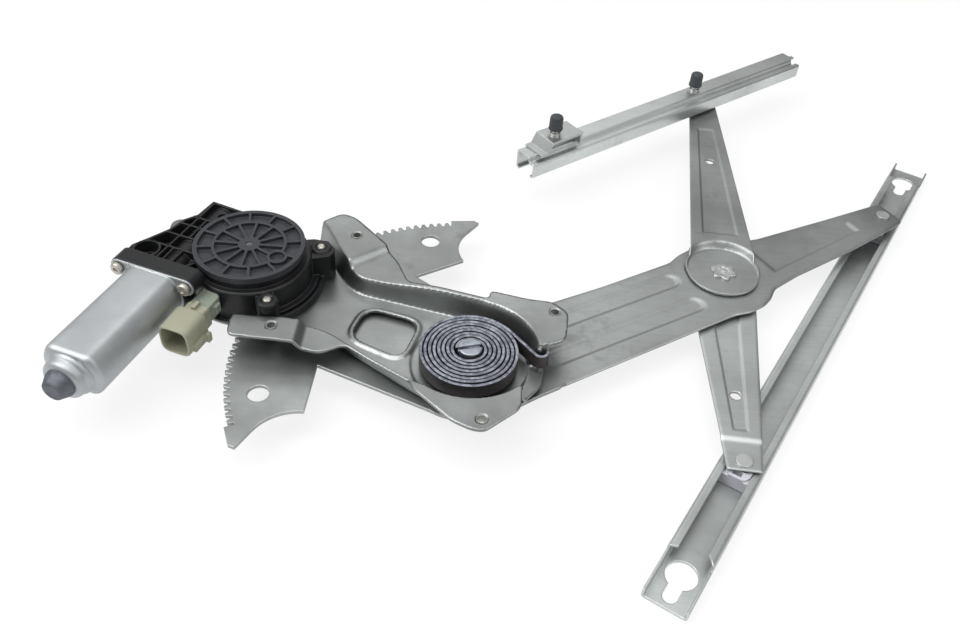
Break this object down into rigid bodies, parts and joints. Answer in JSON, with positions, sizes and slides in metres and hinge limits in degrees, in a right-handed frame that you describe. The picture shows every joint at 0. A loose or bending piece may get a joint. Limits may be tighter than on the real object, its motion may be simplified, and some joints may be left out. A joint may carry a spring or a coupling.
{
  "type": "window regulator",
  "caption": "Cross-arm window regulator with toothed sector, balance spring, worm-gear motor, sliding glass channel and guide rail.",
  "frame": {"origin": "middle of the underside of the bounding box, with the regulator laid flat", "axes": "+X along the longest side, from the motor to the glass channel; +Y from the glass channel's near end to the guide rail; +Z away from the glass side, towards the door's inner panel"},
  "size_m": [0.6739, 0.619, 0.078],
  "materials": {
    "base_sheet": "zinc plated, satin",
    "nut_steel": "plain steel",
    "housing_plastic": "moulded, semi-matt",
    "cover_plastic": "moulded, semi-matt",
    "axle_steel": "ground steel",
    "screw_steel": "zinc plated",
    "vent_plastic": "moulded",
    "can_steel": "zinc plated, satin",
    "magnet_ferrite": "fired ferrite",
    "bush_bronze": "sintered bronze",
    "holder_plastic": "moulded",
    "brush_carbon": "pressed carbon",
    "connector_plastic": "ivory moulding",
    "blade_brass": "tinned brass",
    "neck_plastic": "moulded",
    "sector_sheet": "zinc plated, dull",
    "arm_sheet": "zinc plated, satin",
    "rivet_steel": "plain steel",
    "arbor_steel": "plain steel",
    "washer_plastic": "moulded",
    "spring_steel": "oiled dark steel",
    "pin_steel": "plain steel",
    "wheel_plastic": "moulded",
    "damper_rubber": "moulded rubber",
    "pinion_steel": "sintered steel",
    "shaft_steel": "ground steel",
    "core_steel": "laminated steel",
    "commutator_copper": "copper",
    "upper_arm_sheet": "zinc plated, satin",
    "lower_arm_sheet": "zinc plated, satin",
    "crossing_steel": "staked steel",
    "shoe_plastic": "moulded",
    "clip_steel": "spring steel",
    "channel_sheet": "zinc plated, satin",
    "rail_sheet": "zinc plated, satin",
    "bracket_sheet": "zinc plated, satin",
    "stud_steel": "zinc plated",
    "cap_plastic": "moulded"
  },
  "bodies": {
    "root": {"base_plate": "base_sheet", "weld_nuts": "nut_steel", "gear_housing": "housing_plastic", "gear_cover": "cover_plastic", "gear_axle": "axle_steel", "housing_screws": "screw_steel", "vent_cap": "vent_plastic", "motor_can": "can_steel", "motor_magnets": "magnet_ferrite", "nose_bush": "bush_bronze", "worm_bush": "bush_bronze", "tip_bush": "bush_bronze", "brush_holder": "holder_plastic", "motor_brushes": "brush_carbon", "flange_screws": "screw_steel", "connector": "connector_plastic", "connector_blades": "blade_brass", "connector_neck": "neck_plastic", "balance_spring": "spring_steel"},
    "lift": {"sector_plate": "sector_sheet", "main_arm": "arm_sheet", "sector_rivets": "rivet_steel", "pivot_arbor": "arbor_steel", "pivot_washer": "washer_plastic", "arm_channel_pin": "pin_steel"},
    "drive": {"worm_wheel": "wheel_plastic", "wheel_damper": "damper_rubber", "pinion": "pinion_steel"},
    "armature": {"armature_shaft": "shaft_steel", "armature_core": "core_steel", "commutator": "commutator_copper"},
    "equaliser": {"equaliser_upper_arm": "upper_arm_sheet", "equaliser_lower_arm": "lower_arm_sheet", "crossing_spacers": "washer_plastic", "crossing_rivet": "crossing_steel", "equaliser_channel_pin": "pin_steel", "equaliser_rail_pin": "pin_steel"},
    "shoe_a": {"arm_channel_shoe": "shoe_plastic", "arm_shoe_clip": "clip_steel"},
    "shoe_c": {"equaliser_channel_shoe": "shoe_plastic", "equaliser_shoe_clip": "clip_steel"},
    "shoe_b": {"rail_shoe": "shoe_plastic"},
    "channel": {"glass_channel": "channel_sheet"},
    "rail": {"guide_rail": "rail_sheet", "stud_bracket": "bracket_sheet", "bracket_stud": "stud_steel", "rail_stud": "stud_steel", "bracket_stud_cap": "cap_plastic", "rail_stud_cap": "cap_plastic"}
  },
  "joints": [
    {"name": "lift_pivot", "type": "hinge", "parent": "root", "child": "lift", "pos_m": [-0.07362, -0.14574, 0.024], "axis": [0, 0, 1], "range_deg": [-41, 53], "deforming": ["balance_spring"]},
    {"name": "pinion_spin", "type": "hinge", "parent": "root", "child": "drive", "pos_m": [-0.23403, -0.07831, 0.024], "axis": [0, 0, 1], "range_deg": [-606.71, 469.57]},
    {"name": "motor_spin", "type": "hinge", "parent": "root", "child": "armature", "pos_m": [-0.27492, -0.06503, 0.046], "axis": [0.309, 0.9511, 0], "range_deg": [-44832.86, 34684.29]},
    {"name": "crossing_pivot", "type": "hinge", "parent": "lift", "child": "equaliser", "pos_m": [0.1156, -0.02309, 0.024], "axis": [0, 0, -1], "range_deg": [-40, 54]},
    {"name": "arm_shoe_pivot", "type": "hinge", "parent": "lift", "child": "shoe_a", "pos_m": [0.26581, 0.07427, 0.0125], "axis": [0, 0, -1], "range_deg": [-21, 28]},
    {"name": "channel_slide", "type": "slide", "parent": "shoe_a", "child": "channel", "axis": [0.5004, 0.8658, 0], "range_m": [-0.065, 0.028]},
    {"name": "equaliser_shoe_pivot", "type": "hinge", "parent": "equaliser", "child": "shoe_c", "pos_m": [0.10623, -0.20185, 0.0125], "axis": [0, 0, -1], "range_deg": [-28, 21]},
    {"name": "rail_pivot", "type": "hinge", "parent": "equaliser", "child": "shoe_b", "pos_m": [0.12842, 0.22157, 0.032], "axis": [0, 0, 1], "range_deg": [-40, 40]},
    {"name": "rail_slide", "type": "slide", "parent": "shoe_b", "child": "rail", "axis": [-0.7705, -0.6374, 0], "range_m": [-0.165, 0.095]}
  ],
  "couplings": [
    {"joint": "pinion_spin", "follows": "lift_pivot", "ratio": -11.429},
    {"joint": "motor_spin", "follows": "lift_pivot", "ratio": -845.71},
    {"joint": "arm_shoe_pivot", "follows": "crossing_pivot", "ratio": 0.5},
    {"joint": "equaliser_shoe_pivot", "follows": "crossing_pivot", "ratio": -0.5}
  ]
}
